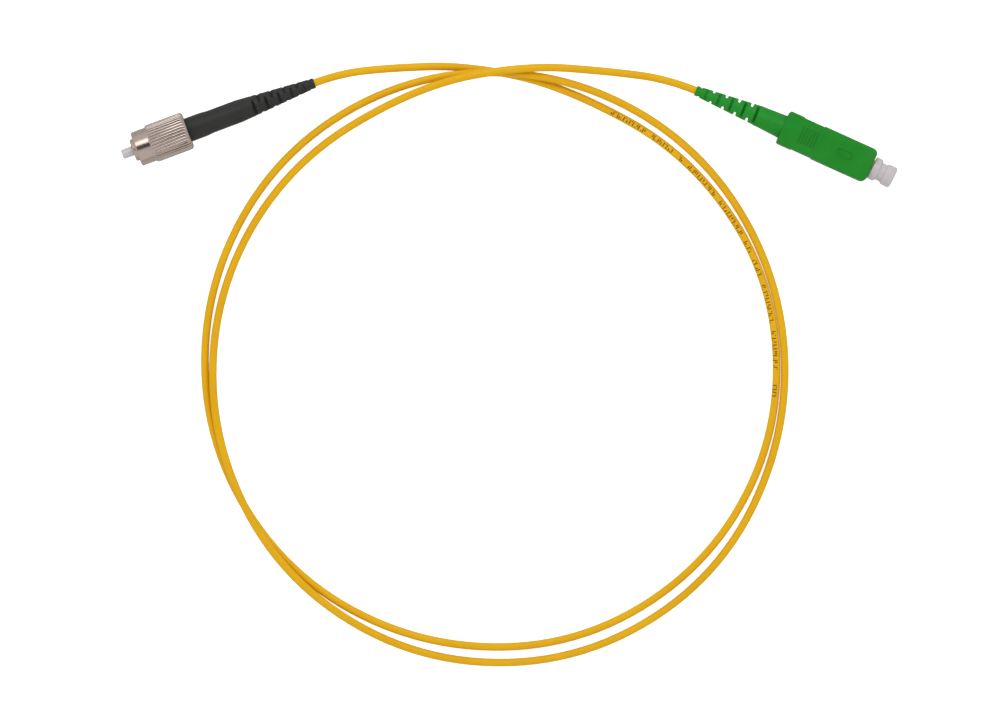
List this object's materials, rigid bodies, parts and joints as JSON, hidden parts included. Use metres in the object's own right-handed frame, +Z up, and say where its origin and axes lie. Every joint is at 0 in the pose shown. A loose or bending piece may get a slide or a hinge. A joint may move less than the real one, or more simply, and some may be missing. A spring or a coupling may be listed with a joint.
{
  "type": "fiber optic patch cord",
  "caption": "Fibre optic patch cord with a ribbed screw-on plug at one end and a square push-pull plug under a dust cap at the other, lying in a loose loop.",
  "frame": {"origin": "on the surface the cord lies on, under the middle of the box round the plugs", "axes": "+X from the screw-on plug towards the square plug, +Y away from the loop, +Z up from the surface"},
  "size_m": [0.2003, 0.1563, 0.01],
  "materials": {
    "nickel": "nickel plate, bright, slightly warm",
    "ceramic": "ground zirconia, satin",
    "steel_spring": "drawn wire",
    "crimp_metal": "plain turned metal",
    "aramid": "loose yellow yarn",
    "glass_fibre": "bare glass",
    "buffer_white": "buffered fibre, off-white",
    "jacket_yellow": "soft PVC jacket with a printed legend of short marks",
    "rubber_black": "moulded boot, satin",
    "rubber_green": "moulded boot, satin",
    "grip_green": "moulded housing, semi-gloss",
    "frame_white": "moulded inner frame",
    "cap_clear": "milky translucent cap"
  },
  "bodies": {
    "cord_and_backbones": {"fc_plug_body": "nickel", "fc_back_body": "nickel", "fc_ferrule_spring": "steel_spring", "fc_crimped_yarn": "aramid", "fc_crimp_ring": "crimp_metal", "fc_buffered_fibre": "buffer_white", "fc_cable_end": "jacket_yellow", "fc_boot": "rubber_black", "sc_plug_frame": "frame_white", "sc_stop_ring": "nickel", "sc_ferrule_spring": "steel_spring", "sc_crimped_yarn": "aramid", "sc_crimp_ring": "crimp_metal", "sc_buffered_fibre": "buffer_white", "sc_cable_end": "jacket_yellow", "sc_boot": "rubber_green", "cable_jacket": "jacket_yellow", "cable_yarn": "aramid", "cable_fibre": "buffer_white"},
    "fc_ferrule_set": {"fc_ferrule": "ceramic", "fc_ferrule_flange": "nickel", "fc_bare_fibre": "glass_fibre"},
    "fc_nut_carrier": {"fc_nut_retaining_ring": "steel_spring"},
    "fc_nut": {"fc_coupling_nut": "nickel"},
    "sc_grip": {"sc_grip_body": "grip_green"},
    "sc_ferrule_set": {"sc_ferrule": "ceramic", "sc_ferrule_flange": "nickel", "sc_bare_fibre": "glass_fibre"},
    "sc_cap": {"sc_dust_cap": "cap_clear"}
  },
  "joints": [
    {"name": "fc_ferrule_float", "type": "slide", "parent": "cord_and_backbones", "child": "fc_ferrule_set", "axis": [-0.9369, -0.3495, 0], "range_m": [-0.001, 0], "stiffness_N_per_m": 5000, "deforming": ["fc_ferrule_spring", "fc_buffered_fibre"]},
    {"name": "fc_nut_slide", "type": "slide", "parent": "cord_and_backbones", "child": "fc_nut_carrier", "axis": [-0.9369, -0.3495, 0], "range_m": [-0.0025, 0]},
    {"name": "fc_nut_spin", "type": "hinge", "parent": "fc_nut_carrier", "child": "fc_nut", "pos_m": [-0.08951, -0.00173, 0.005], "axis": [-0.9369, -0.3495, 0], "continuous": true},
    {"name": "sc_ferrule_float", "type": "slide", "parent": "cord_and_backbones", "child": "sc_ferrule_set", "axis": [0.9109, -0.4127, 0], "range_m": [-0.001, 0], "stiffness_N_per_m": 5000, "deforming": ["sc_ferrule_spring", "sc_buffered_fibre"]},
    {"name": "sc_grip_slide", "type": "slide", "parent": "cord_and_backbones", "child": "sc_grip", "axis": [0.9109, -0.4127, 0], "range_m": [-0.0018, 0]},
    {"name": "sc_cap_pull", "type": "slide", "parent": "cord_and_backbones", "child": "sc_cap", "axis": [0.9109, -0.4127, 0], "range_m": [0, 0.012]}
  ]
}
